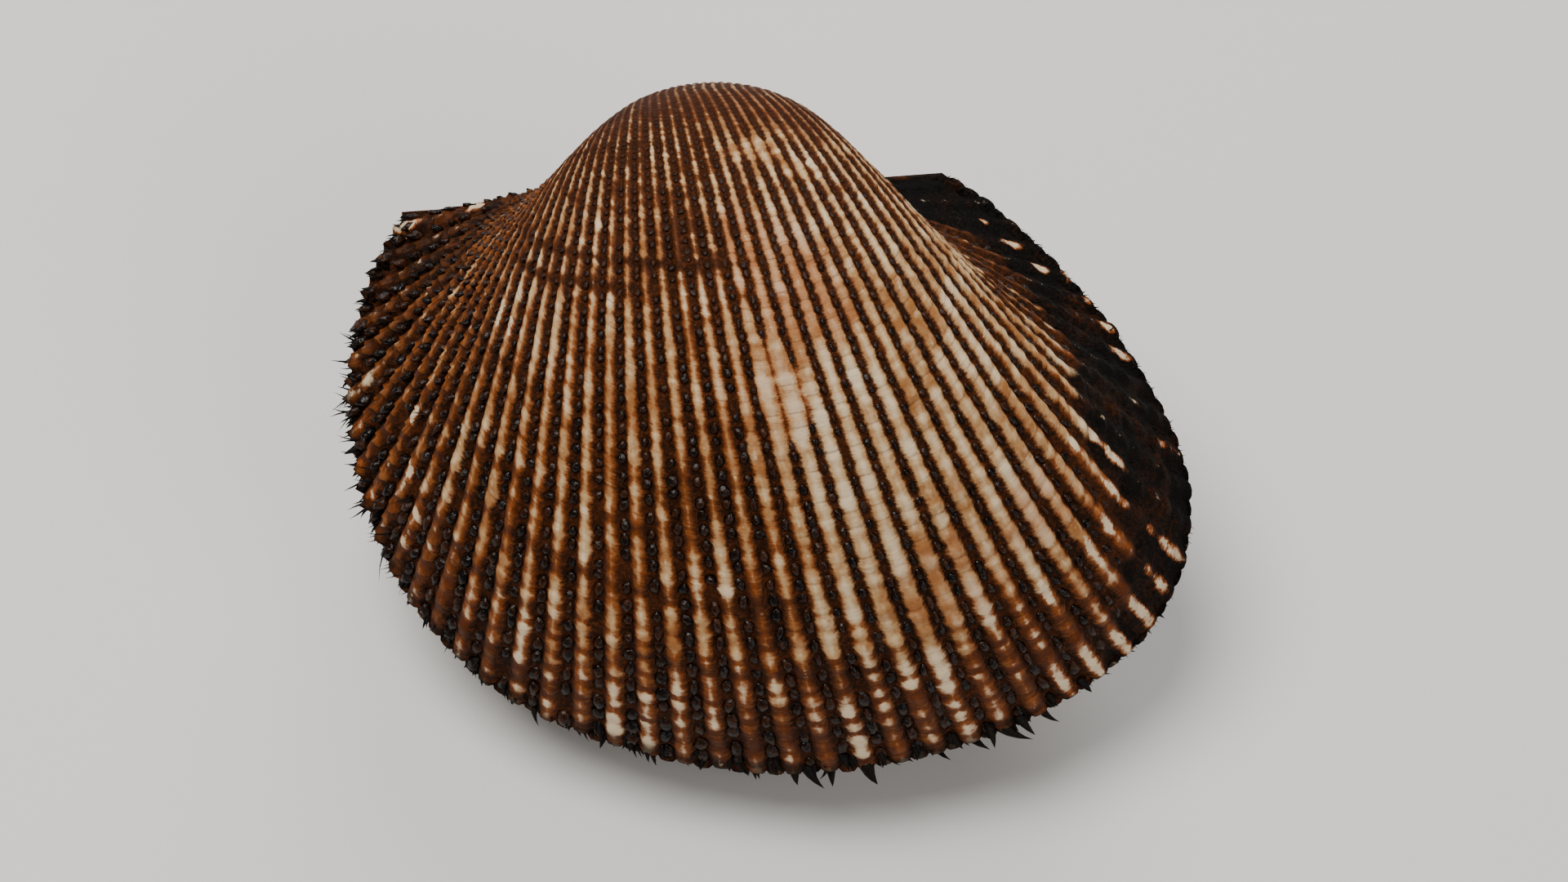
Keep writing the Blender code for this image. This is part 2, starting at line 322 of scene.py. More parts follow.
def spots(shares, degrees, side):
    """Pale spots on single ribs, each given as rib, degrees and half length in degrees."""
    if side < 0:
        shares, degrees = shares + 1 / RIB_COUNT, degrees * 0.8 - 1.5
    rib = np.floor(shares * RIB_COUNT)
    total = np.zeros_like(shares)
    for number, turn, reach in PALE_SPOTS:
        total += (rib == number) * smooth(0.2, 1.0, reach) * bell(turn, 1.5 * reach, degrees)
    return np.clip(total * 1.3, 0, 1)


def step_waver(shares, turn, side):
    """How far a growth step strays from its own turn, in degrees."""
    return 1.6 * (cell_noise(shares * 14, np.full_like(shares, turn), 17 + side) - 0.5)


def growth_stain(shares, degrees, side):
    """Dark stains along the growth steps, with gaps."""
    stain = np.zeros_like(shares)
    for turn, strength in GROWTH_STEPS:
        at = np.full_like(shares, turn)
        reach = 0.7 + 1.0 * cell_noise(shares * 9, at, 19 + side)
        broken = smooth(0.25, 0.6, cell_noise(shares * 11, at, 20 + side))
        stain += strength * broken * bell(turn + step_waver(shares, turn, side), reach, degrees)
    return stain


def finish_of(shares, turns, side):
    """How far each rib's pale stripe and each furrow reach, with the marks that lie over them."""
    area = regions(shares, turns, side)
    degrees, drift = area["degrees"], area["drift"]
    front, rear, flank, lip = area["front"], area["rear"], area["flank"], area["lip"]
    worn, blush, sooty = (patches(places, shares, degrees, drift)
                          for places in (WORN_PLACES, BLUSH_PLACES, SOOTY_PLACES))
    high = smooth(50, 85, degrees)
    thin = smooth(0.80, 0.88, shares)
    shaded = flank * (1 - smooth(32, 70, degrees))
    edge = np.maximum(np.interp(shares, VELVET_SHARES, VELVET_EDGE), 0)
    hem = smooth(0.54, 0.66, shares) * (1 - smooth(3, 34, degrees - edge + 6 * (drift - 0.5)))
    stripe = 0.25 + (0.33 - 0.14 * high) * rear - 0.32 * front + 0.04 * flank - 0.26 * thin
    stripe -= 0.15 * high + 0.20 * lip * rear + 0.22 * lip + 0.14 * area["young"]
    stripe -= 0.40 * sooty - 0.35 * worn + 0.30 * area["ear"] + 0.25 * hem + 0.10 * shaded
    furrow = 0.50 + (0.10 - 0.07 * high) * rear - 0.08 * high - 0.12 * hem - 0.14 * shaded
    furrow += 0.55 * worn - 0.12 * sooty - 0.10 * thin
    breaks = 0.45 + 0.55 * lip + 0.35 * front - 0.28 * rear * (1 - lip) + 0.30 * hem
    breaks += 0.30 * bell(30, 8, degrees) * (1 - rear) + 0.30 * high
    stain = growth_stain(shares, degrees, side) * (0.15 + 0.85 * (1 - rear))
    return {"stripe": stripe, "furrow": furrow, "breaks": breaks, "stain": np.clip(stain, 0, 1),
            "blush": blush, "sooty": np.clip(sooty, 0, 1), "worn": np.clip(worn, 0, 1),
            "spot": spots(shares, degrees, side), **area}


def inner_share(shares):
    """1 over most of the valve, falling to 0 at both ends of the hinge, where the wall is thin."""
    return smooth(0.0, 0.06, shares) * (1 - smooth(0.90, 0.98, shares))


def relief(ribs, turns, knobs, finish, side):
    """Height of the back above its smooth form, before it is scaled by the shell's size there."""
    phase = ribs - np.floor(ribs)
    to_crest = 2 * np.abs(phase - 0.5)
    half_width = np.clip(1 - finish["furrow"], 0.20, 0.60)
    floor_at = 1 - half_width * 0.40
    sunk = smooth(0, 1, (to_crest - floor_at + FURROW_SLOPE) / FURROW_SLOPE)
    filled = 1 - 0.68 * finish["pile"] - 0.25 * finish["young"] - 0.5 * finish["worn"]
    height = -FURROW_DEPTH * sunk * filled - CREST_DROP * inner_share(ribs / RIB_COUNT)
    height += CROWN_HEIGHT * (1 - (to_crest / np.maximum(floor_at - FURROW_SLOPE, 0.2)) ** 2) * (1 - sunk)
    uneven = cell_noise(np.floor(ribs), knobs, 23 + side)
    wave = np.cos(2 * math.pi * knobs)
    height += KNOB_HEIGHT * (wave * (0.4 + 0.6 * uneven) + 1.4 * (uneven - 0.5)) * (1 - 0.8 * sunk)
    slant = knobs - SCALE_POINT * to_crest + 0.2 * (phase - 0.5)
    climb = 1 - (slant - np.floor(slant))
    shingled = np.clip(finish["front"] * (1 - smooth(70, 95, finish["degrees"])), 0, 1)
    height += SHINGLE_HEIGHT * shingled * (climb - 0.5) * (1 - sunk) * (0.4 + 1.2 * uneven)
    for turn, strength in GROWTH_STEPS:
        ahead = finish["degrees"] - turn - step_waver(ribs / RIB_COUNT, turn, side)
        height += STEP_HEIGHT * strength * (bell(1.2, 1.2, ahead) - 0.8 * bell(-0.6, 0.8, ahead))
    grain = cell_noise(ribs * 2.2, knobs * 2.6, 31 + side) - 0.5
    coarse = cell_noise(ribs * 0.9, knobs * 1.1, 32 + side) - 0.5
    rough = finish["velvet"] + finish["ear"]
    return height + GRAIN_HEIGHT * grain * (1 + 1.5 * rough) + ROUGH_HEIGHT * coarse * rough


def laid_down(points):
    """Points of the shut shell, as it lies on the floor."""
    place = np.array(REST)
    return points @ place[:3, :3].T + place[:3, 3]


def to_world(points, side):
    """Lift the valve off the meeting plane by half the gap, mirror it and lay it at rest."""
    lifted = points.copy()
    lifted[..., 2] = (lifted[..., 2] + VALVE_GAP / 2) * side
    return laid_down(lifted)


def placed(name, data):
    """A new object in the scene."""
    made = bpy.data.objects.new(name, data)
    bpy.context.scene.collection.objects.link(made)
    return made


def new_piece(name, points, faces, replaced=(), values=None):
    """A mesh piece that rides on the shell. faces is a list of index arrays, one row for each face."""
    mesh = bpy.data.meshes.new(name)
    mesh.from_pydata(points.tolist(), (), [face for block in faces for face in block.tolist()])
    mesh.validate()
    mesh.shade_smooth()
    for label, data in (values or {}).items():
        held = mesh.attributes.new(label, "FLOAT", "POINT")
        held.data.foreach_set("value", np.ascontiguousarray(data, dtype=np.float32))
    piece = placed(name, mesh)
    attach(piece, "root")
    if replaced:
        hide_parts(*replaced)
    return piece


def capped_rings(rows, columns, first_tip, last_tip):
    """Faces of a grid whose rows are closed rings, with a fan over each of its ends."""
    at = np.arange(rows * columns).reshape(rows, columns)
    after = np.roll(at, -1, axis=1)
    faces = [np.stack((at[:-1], after[:-1], after[1:], at[1:]), axis=-1).reshape(-1, 4)]
    for ring, tip in ((at[-1], last_tip), (at[0][::-1], first_tip)):
        faces.append(np.stack((ring, np.roll(ring, -1), np.full_like(ring, tip)), axis=-1))
    return faces


def valve_piece(side, ending, points, faces, values=None):
    """A piece of one valve, laid in place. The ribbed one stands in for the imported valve."""
    node = "left_valve" if side > 0 else "right_valve"
    if side < 0:
        faces = [block[:, ::-1] for block in faces]
    replaced = (node,) if ending == "_ribbed" else ()
    return new_piece(node + ending, to_world(points, side), faces, replaced, values)


def hinge_strip(ring):
    """The flat hinge area: straight lines from a row's rear end back to its front end."""
    share = (np.arange(1, HINGE_COLUMNS + 1) / (HINGE_COLUMNS + 1))[None, :, None]
    return ring[:, -1:, :] * (1 - share) + ring[:, :1, :] * share


def back_turns():
    """The turns of the rows of the back and the beak, closer together at the margin."""
    even = np.linspace(0.0, 1.0, BACK_ROWS)
    crowded = BACK_END_TURN * ((1 - ROW_CROWDING) * even + ROW_CROWDING * even ** 2)
    return np.concatenate((crowded, BEAK_TURNS))


def outer_surface(shares, turns, height):
    """The ribbed back. Its first row lies in the plane where the valves meet."""
    outward = directions(shares, turns)[3]
    surface = back(shares, turns) + outward * height[..., None]
    edge_out = unit(outward[0, :, :2])
    surface[0, :, :2] = margin_points(shares[0]) + edge_out * height[0][:, None]
    surface[0, :, 2] = 0.0
    return surface


def inner_surface(shares):
    """The plain inside, with a row for each of INNER_TURNS."""
    turns = np.repeat(INNER_TURNS[:, None], len(shares), axis=1)
    shrink = 1 - WALL / (size_at(turns) * MARGIN_RADIUS)
    flat = margin_points(leaned(np.repeat(shares[None], len(INNER_TURNS), axis=0), turns))
    return grown(MARGIN_CENTRE + (flat - MARGIN_CENTRE) * shrink[..., None], turns)


def at_every_point(data, inside=0.0, hinge=0.0):
    """Values for all the points of a valve, from those of its back."""
    within = np.full((len(INNER_TURNS) - 1, data.shape[1]), inside)
    rows = np.vstack((within, data[:1], data))
    strip = np.full((len(rows), HINGE_COLUMNS), hinge)
    return np.append(np.hstack((rows, strip)).ravel(), (inside, 0.0))


def valve(side, offset):
    """One valve with its ribs. The offset moves its ribs along the margin, in rib widths."""
    margin = np.linspace(0.0, 1.0, RIB_COUNT * COLUMNS_PER_RIB + 1)
    turns = np.repeat(back_turns()[:, None], len(margin), axis=1)
    shares = np.repeat(margin[None], len(turns), axis=0)
    ribs, knobs = shares * RIB_COUNT - offset, turns * knob_rate(shares)
    finish = finish_of(shares, turns, side)
    height = relief(ribs, turns, knobs, finish, side)
    height *= size_at(turns) * (1 - smooth(BACK_END_TURN, BEAK_TURNS[3], turns))
    grid = np.concatenate((inner_surface(margin)[::-1], outer_surface(shares, turns, height)))
    grid = np.concatenate((grid, hinge_strip(grid)), axis=1)
    tips = grown(np.stack((MARGIN_CENTRE, MARGIN_CENTRE)), np.array((INNER_END_TURN, BEAK_END_TURN)))
    points = np.concatenate((grid.reshape(-1, 3), tips))
    faces = capped_rings(*grid.shape[:2], len(points) - 2, len(points) - 1)
    nothing = np.zeros_like(ribs)
    values = {"rib": at_every_point(ribs), "knob": at_every_point(knobs), "turn": at_every_point(turns),
              "inside": at_every_point(nothing, inside=1.0), "hinge": at_every_point(nothing, hinge=1.0)}
    values.update((label, at_every_point(finish[label])) for label in MASKS)
    return valve_piece(side, "_ribbed", points, faces, values)


def copies(shapes, faces, origins, axes, scales):
    """Many small shapes with the same faces, each with its own place, three axes and sizes."""
    scaled = shapes * scales[:, None, :]
    points = origins[:, None, :] + np.einsum("nvk,nkc->nvc", scaled, axes)
    shift = (np.arange(len(origins)) * scaled.shape[1])[:, None, None]
    blocks = [(block[None] + shift).reshape(-1, block.shape[1]) for block in faces]
    return points.reshape(-1, 3), blocks


def dome(sides, rings):
    """A low dome on a closed base, of unit half length, half width and height."""
    angles = np.arange(sides) * 2 * math.pi / sides
    climb = np.linspace(0.5 * math.pi, 0.0, rings + 1)[:-1]
    reach, rise = np.sin(climb) ** 0.8, np.cos(climb)
    grid = np.stack((np.outer(reach, np.cos(angles)), np.outer(reach, np.sin(angles)),
                     np.repeat(rise[:, None], sides, axis=1)), axis=-1)
    foot = grid[:1] * (0.9, 0.9, 1.0) - (0.0, 0.0, DOME_BASE)
    grid = np.concatenate((foot, grid))
    points = np.concatenate((grid.reshape(-1, 3), [(0.0, 0.0, 1.0), (0.0, 0.0, -DOME_BASE)]))
    return points, capped_rings(len(grid), sides, len(points) - 1, len(points) - 2)


def bead_places(offset, rng):
    """Share of the margin and turn of each bead of dark skin along the furrows."""
    found = []
    furrows = np.arange(0 if offset else 1, RIB_COUNT)
    for share in np.append((furrows + offset) / RIB_COUNT, EDGE_SCALES):
        rate = knob_rate(np.array([share]))[0]
        knob = np.arange(0, int(rate * BEAD_END_TURN)) + 0.5
        turn = (knob + rng.uniform(-BEAD_JITTER, BEAD_JITTER, len(knob))) / rate
        found.append(np.stack((np.full(len(knob), share), turn), axis=-1))
    return np.concatenate(found).T


def bead_shapes(template, front, rng):
    """A lumpy copy of the template for each bead, pointed toward the margin at the front."""
    count = len(front)
    shapes = np.repeat(template[None], count, axis=0)
    angle = np.arctan2(template[:, 1], template[:, 0])[None]
    lobes = rng.integers(2, 5, count)[:, None]
    lumpy = 1 + 0.13 * np.sin(lobes * angle + rng.uniform(0, 2 * math.pi, count)[:, None])
    shapes[..., :2] *= lumpy[..., None]
    shapes += rng.normal(0, 0.05, shapes.shape)
    pointed = (0.10 + 0.62 * front + 0.15 * rng.random(count))[:, None]
    ahead = np.clip(shapes[..., 0], 0, 1.3)
    shapes[..., 1] *= 1 - pointed * ahead ** 1.5
    lifted = (0.05 + 0.9 * front * rng.random(count))[:, None]
    shapes[..., 2] += lifted * ahead * (shapes[..., 2] > 0)
    shapes[..., 0] += 0.35 * np.clip(shapes[..., 2], 0, 1)
    return shapes


def bead_sizes(finish, width, size, rng):
    """Half length, half width and height of each bead."""
    count, front, rear, lip = len(width), finish["front"], finish["rear"], finish["lip"]
    high = 1 - smooth(55, 100, finish["degrees"])
    half_width = width * (0.205 - 0.06 * rear - 0.035 * front + 0.015 * lip)
    half_width *= rng.uniform(0.8, 1.2, count)
    half_length = width * KNOB_SPACING * (0.34 + 0.05 * lip - 0.03 * front)
    half_length *= rng.uniform(0.75, 1.2, count)
    rise = size * rng.uniform(0.7, 1.25, count) * (
        BEAD_HEIGHT * (0.45 + 0.55 * high) * (1 - 0.25 * rear) + FRONT_BEAD_HEIGHT * front * high)
    flat = 1 - EDGE_SCALE_SHRINK * finish["edge"]
    return np.stack((half_length, half_width * flat, rise * flat), axis=-1)


def furrow_beads(side, offset):
    """The beads that the skin dries into, in the furrows of one valve."""
    rng = np.random.default_rng(41 + side)
    shares, turns = bead_places(offset, rng)
    finish = finish_of(shares, turns, side)
    kept = (finish["velvet"] < 0.35) & (finish["furrow"] < 0.95) & (rng.random(len(shares)) < BEAD_CHANCE)
    shares, turns = shares[kept], turns[kept]
    finish = {label: data[kept] for label, data in finish.items()}
    finish["edge"] = (shares == EDGE_SCALES) * 1.0
    width, across, to_margin, outward = directions(shares, turns)
    size = size_at(turns)
    template, faces = dome(BEAD_SIDES, BEAD_RINGS)
    shapes = bead_shapes(template, finish["front"], rng)
    scales = bead_sizes(finish, width, size, rng)
    along = unit(to_margin + across * rng.normal(0, 0.16, len(shares))[:, None])
    axes = np.stack((along, unit(np.cross(outward, along)), outward), axis=1)
    sunk = FURROW_DEPTH * (1 - 0.5 * finish["edge"]) + CREST_DROP * inner_share(shares)
    origins = back(shares, turns) - outward * (sunk * size)[:, None]
    points, blocks = copies(shapes, faces, origins, axes, scales)
    return valve_piece(side, "_furrow_beads", points, blocks, {"turn": np.repeat(turns, len(template))})


def spike(sides, rings):
    """A closed spike along x, of unit length and unit half width, bent upward along z."""
    angles = np.arange(sides) * 2 * math.pi / sides
    along = np.linspace(0.0, 1.0, rings + 1)[:-1]
    slim = (1 - along) ** 0.8
    grid = np.stack((np.repeat(along[:, None], sides, axis=1), np.outer(slim, np.cos(angles)),
                     np.outer(slim, np.sin(angles))), axis=-1)
    points = np.concatenate((grid.reshape(-1, 3), [(1.0, 0.0, 0.0), (0.0, 0.0, 0.0)]))
    faces = capped_rings(rings, sides, len(points) - 1, len(points) - 2)
    return points, [block[:, ::-1] for block in faces]


def spines(sides, rings, origins, along, flat, lengths, half_widths, half_depths, bend):
    """Bent spikes. flat is the way of each one's broad side, and bend its drop over its length."""
    template, faces = spike(sides, rings)
    along = unit(along)
    broad = unit(flat - along * np.sum(flat * along, axis=-1, keepdims=True))
    axes = np.stack((along, broad, np.cross(along, broad)), axis=1)
    scales = np.stack((lengths, half_widths, half_depths), axis=-1)
    points, blocks = copies(template[None], faces, origins, axes, scales)
    points = points.reshape(len(origins), -1, 3)
    points = points + template[None, :, 0:1] ** 2 * bend[:, None, :] * lengths[:, None, None]
    return points.reshape(-1, 3), blocks


def joined(parts):
    """One set of points and faces from several."""
    points, blocks, shift = [], [], 0
    for part_points, part_blocks in parts:
        points.append(part_points)
        blocks.extend(block + shift for block in part_blocks)
        shift += len(part_points)
    return np.concatenate(points), blocks


def fringe(offset, rng):
    """Torn tufts of skin that stand out past the margin from each furrow."""
    parts = []
    for per_furrow, reaches, spread, breadth in FRINGE:
        furrows = np.repeat(np.arange(0 if offset else 1, RIB_COUNT), per_furrow)
        number = len(furrows)
        shares = np.clip((furrows + offset + rng.normal(0, spread, number)) / RIB_COUNT, 0.004, 0.985)
        turns = np.radians(rng.uniform(0.1, 1.8, number))
        width, across, to_margin, outward = directions(shares, turns)
        lengths = np.interp(shares, TUFT_SHARES, reaches) * rng.uniform(0.55, 1.25, number)
        radial = unit(to_margin * rng.uniform(0.0, 0.6, (number, 1)) + outward)
        radial[:, 2] *= 0.3
        half_widths = breadth * width * rng.uniform(0.6, 1.3, number)
        half_widths = np.minimum(half_widths, lengths * 0.42)
        bend = across * rng.normal(0.22, 0.25, (number, 1))
        bend -= outward * rng.uniform(0.0, 0.25, (number, 1))
        origins = back(shares, turns) - outward * (FURROW_DEPTH + CREST_DROP)
        parts.append(spines(6, 4, origins, radial, across, lengths + FURROW_DEPTH, half_widths,
                            half_widths * 0.5, bend))
    return joined(parts)


def scale_tips(rng, offset, count, share_range, degree_range, length_range):
    """Points and hairs that stand up from the beads."""
    furrows = rng.integers(0 if offset else 1, RIB_COUNT, count * 3)
    shares = (furrows + offset) / RIB_COUNT
    shares = shares[(shares > share_range[0]) & (shares < share_range[1])][:count]
    number = len(shares)
    turns = np.radians(rng.uniform(*degree_range, number))
    shares = np.clip(shares + rng.normal(0, 0.0022, number), 0.002, 0.998)
    _, across, to_margin, outward = directions(shares, turns)
    size = size_at(turns)
    along = to_margin * rng.uniform(0.5, 1.6, (number, 1)) + outward
    along -= across * rng.uniform(-0.3, 0.9, (number, 1))
    lengths = rng.uniform(*length_range, number) * size ** 0.5
    half_widths = np.minimum(lengths * rng.uniform(0.06, 0.12, number), TIP_WIDTH_MAX)
    origins = back(shares, turns) - outward * ((ROOT_DEPTH + CREST_DROP) * size)[:, None]
    bend = to_margin * rng.uniform(-0.1, 0.4, (number, 1))
    bend = bend - across * rng.normal(0.1, 0.3, (number, 1))
    return spines(4, 3, origins, along, across, lengths, half_widths, half_widths * 0.6, bend)


def velvet_hairs(side, rng):
    """The short pile on the rear slope."""
    count = LEFT_VELVET_HAIRS if side > 0 else RIGHT_VELVET_HAIRS
    shares = rng.uniform(0.66, 0.998, count * 2)
    turns = np.radians(rng.uniform(0, 40, count * 2))
    kept = rng.random(len(shares)) < finish_of(shares, turns, side)["velvet"]
    shares, turns = shares[kept][:count], turns[kept][:count]
    number = len(shares)
    _, across, to_margin, outward = directions(shares, turns)
    along = to_margin * rng.uniform(0.8, 2.2, (number, 1)) + outward
    along += across * rng.normal(0, 0.35, (number, 1))
    lengths = rng.uniform(0.0004, 0.0009, number)
    half_widths = lengths * rng.uniform(0.06, 0.12, number)
    origins = back(shares, turns) - outward * (ROOT_DEPTH + CREST_DROP)
    bend = -outward * rng.uniform(0.0, 0.3, (number, 1))
    return spines(3, 2, origins, along, across, lengths, half_widths, half_widths, bend)


def tufts(side, offset):
    """All the skin that stands up from one valve: its fringe, points, hairs and velvet."""
    rng = np.random.default_rng(61 + side)
    parts = [fringe(offset, rng)]
    parts += [scale_tips(rng, offset, *row) for row in SCALE_TIPS]
    parts.append(velvet_hairs(side, rng))
    return valve_piece(side, "_skin_tufts", *joined(parts))


def groove_line(turns, across):
    """Places along the line between the hinge's two ends, with an earlier turn for each."""
    ends = np.repeat(np.array((MARGIN[0], MARGIN[-1]))[None], len(turns), axis=0)
    line = grown(ends, np.repeat(turns[:, None], 2, axis=1))
    return line[:, 0] + (line[:, 1] - line[:, 0]) * across[:, None]


def around(corners, count):
    """Values at even steps around a ring, from the values at its corners."""
    at_corner = np.linspace(0, len(corners) - 1, count, endpoint=False)
    low = np.floor(at_corner).astype(int)
    part = at_corner - low
    return np.array(corners)[low].T * (1 - part) + np.array(corners)[low + 1].T * part


def ligament():
    """The dried ligament, cracked across, at the bottom of the groove between the hinge areas."""
    sides = 4 * LIGAMENT_QUARTER
    spread = np.linspace(-1, 1, LIGAMENT_RINGS)
    across = 0.5 + 0.5 * LIGAMENT_REACH * spread
    turn = LIGAMENT_TURN * np.sqrt(np.maximum(1 - spread ** 2, LIGAMENT_END))
    lines = [groove_line(at, across) for at in (np.full_like(turn, LIGAMENT_FOOT_TURN), turn / 2, turn)]
    crack = 1 - LIGAMENT_CRACK * cell_noise(np.arange(LIGAMENT_RINGS) * 0.9, 0 * turn, 71)
    foot_y, middle_y, top_y = (line[:, 1] + LIGAMENT_GAP for line in lines)
    crown_y = np.maximum(foot_y, top_y) + LIGAMENT_CROWN * (2 * crack - 1)
    middle_z, top_z = (np.maximum(lines[step][:, 2] - LIGAMENT_GAP, step * LIGAMENT_THIN) * crack
                       for step in (1, 2))
    y = around((foot_y, middle_y, top_y, crown_y, top_y, middle_y, foot_y), sides)
    z = around((0 * top_z, middle_z, top_z, 0 * top_z, -top_z, -middle_z, 0 * top_z), sides)
    grid = np.stack((np.repeat(lines[0][:, :1], sides, axis=1), y, z), axis=-1)
    points = np.concatenate((grid.reshape(-1, 3), grid[[0, -1]].mean(axis=1)))
    faces = capped_rings(LIGAMENT_RINGS, sides, len(points) - 2, len(points) - 1)
    return new_piece("ligament_dried", laid_down(points), faces, ("ligament",))


def srgb(red, green, blue):
    """A colour given by its values on a screen, from 0 to 255."""
    def linear(value):
        share = value / 255
        return share / 12.92 if share <= 0.04045 else ((share + 0.055) / 1.055) ** 2.4
    return (linear(red), linear(green), linear(blue), 1.0)


CREAM = srgb(184, 147, 102)
CHALK = srgb(213, 190, 157)
TAN = srgb(146, 95, 51)
PEACH = srgb(168, 102, 64)
RUST = srgb(135, 69, 25)
CHESTNUT = srgb(83, 39, 13)
BARK = srgb(53, 24, 5)
SOOT = srgb(16, 8, 2)
PITCH = srgb(8, 5, 3)
PORCELAIN = srgb(232, 226, 214)


# Noise scales of the surfaces, in cells for each metre
CLOUD_SCALE = 160.0
BROAD_SCALE = 420.0
HINGE_SCALE = 500.0
MOTTLE_SCALE = 700.0
WRINKLE_SCALE = 1700.0
FUZZ_SCALE = 2200.0


class Nodes:
    """Adds nodes to a tree. A value is another node's socket, or a plain number or colour."""

    def __init__(self, tree):
        self.tree = tree

    def add(self, kind, inputs=(), **settings):
        node = self.tree.nodes.new(kind)
        for label, value in settings.items():
            setattr(node, label, value)
        self.feed(node.inputs, inputs)
        return node

    def feed(self, sockets, values):
        """Give a value to each of the sockets that are named or numbered."""
        for label, value in dict(values).items():
            if isinstance(value, bpy.types.NodeSocket):
                self.tree.links.new(value, sockets[label])
            else:
                sockets[label].default_value = value

    def math(self, operation, *values):
        return self.add("ShaderNodeMath", enumerate(values), operation=operation).outputs[0]

    def product(self, first, second):
        return self.math("MULTIPLY", first, second)

    def less(self, first, second):
        return self.math("SUBTRACT", first, second)

    def total(self, *terms):
        """The sum of values. A term given as a pair stands for its product."""
        values = [self.product(*term) if isinstance(term, tuple) else term for term in terms]
        result = values[0]
        for value in values[1:]:
            result = self.math("ADD", result, value)
        return result

    def ramp(self, low, high, *terms):
        """0 where the sum of the terms is low, and 1 where it is high."""
        node = self.add("ShaderNodeMapRange",
                        {"Value": self.total(*terms), "From Min": low, "From Max": high},
                        interpolation_type="SMOOTHSTEP")
        return node.outputs["Result"]

    def mix(self, share, first, second):
        """From the first colour to the second. A share given as a pair stands for its product."""
        inputs = {0: self.total(share), 6: first, 7: second}
        return self.add("ShaderNodeMix", inputs, data_type="RGBA").outputs[2]

    def value_of(self, label):
        return self.add("ShaderNodeAttribute", attribute_name=label).outputs["Fac"]

    def place(self, x, y, z):
        return self.add("ShaderNodeCombineXYZ", {"X": x, "Y": y, "Z": z}).outputs[0]

    def noise(self, vector, scale, detail=2.0, roughness=0.5):
        """Noise around zero, from about -0.5 to 0.5."""
        node = self.add("ShaderNodeTexNoise", {"Vector": vector, "Scale": scale, "Detail": detail,
                                               "Roughness": roughness})
        return self.less(node.outputs["Fac"], 0.5)

    def rib_noise(self, across, along, seed, detail=2.0, roughness=0.5):
        """Noise that follows the ribs. across and along are pairs of a value and its rate."""
        place = self.place(self.product(*across), self.product(*along), seed)
        return self.noise(place, 1.0, detail, roughness)


LOOK = (("Colour", "NodeSocketColor"), ("Roughness", "NodeSocketFloat"), ("Height", "NodeSocketFloat"))


def new_group(name, inputs):
    """A node group with named inputs, each with its default, and the outputs in LOOK."""
    tree = bpy.data.node_groups.new(name, "ShaderNodeTree")
    for label, default in inputs:
        kind = "NodeSocketColor" if isinstance(default, tuple) else "NodeSocketFloat"
        tree.interface.new_socket(label, in_out="INPUT", socket_type=kind).default_value = default
    for label, kind in LOOK:
        tree.interface.new_socket(label, in_out="OUTPUT", socket_type=kind)
    given, out = tree.nodes.new("NodeGroupInput"), tree.nodes.new("NodeGroupOutput")
    return tree, Nodes(tree), given.outputs, out.inputs


def dried_skin_group():
    """Dark skin: colour with a fine speckle, roughness, and the height of its wrinkles."""
    tree, nodes, given, out = new_group("dried skin", (
        ("Dark", SOOT), ("Light", BARK), ("Grain", 2600.0), ("Wrinkle", 0.5), ("Gloss", 0.5)))
    at = nodes.add("ShaderNodeTexCoord").outputs["Object"]
    speckle = nodes.noise(at, given["Grain"], 2.0, 0.7)
    broad = nodes.noise(at, BROAD_SCALE, 2.0, 0.6)
    wrinkle = nodes.add("ShaderNodeTexVoronoi", {"Vector": at, "Scale": WRINKLE_SCALE},
                        feature="F1").outputs["Distance"]
    colour = nodes.mix(nodes.ramp(-0.18, 0.30, (speckle, 0.9), broad), given["Dark"], given["Light"])
    colour = nodes.mix((nodes.ramp(0.17, 0.26, speckle), 0.3), colour, RUST)
    worn = nodes.ramp(0.4, 1.5, nodes.value_of("turn"))
    brown = nodes.mix(nodes.ramp(-0.10, 0.35, speckle, broad), BARK, CHESTNUT)
    matt = nodes.total(0.80, (speckle, 0.35), (broad, 0.25), (worn, 0.30))
    nodes.feed(out, {"Colour": nodes.mix((worn, 0.45), colour, brown),
                     "Roughness": nodes.less(matt, given["Gloss"]),
                     "Height": nodes.total(speckle, (wrinkle, given["Wrinkle"]), broad)})
    return tree


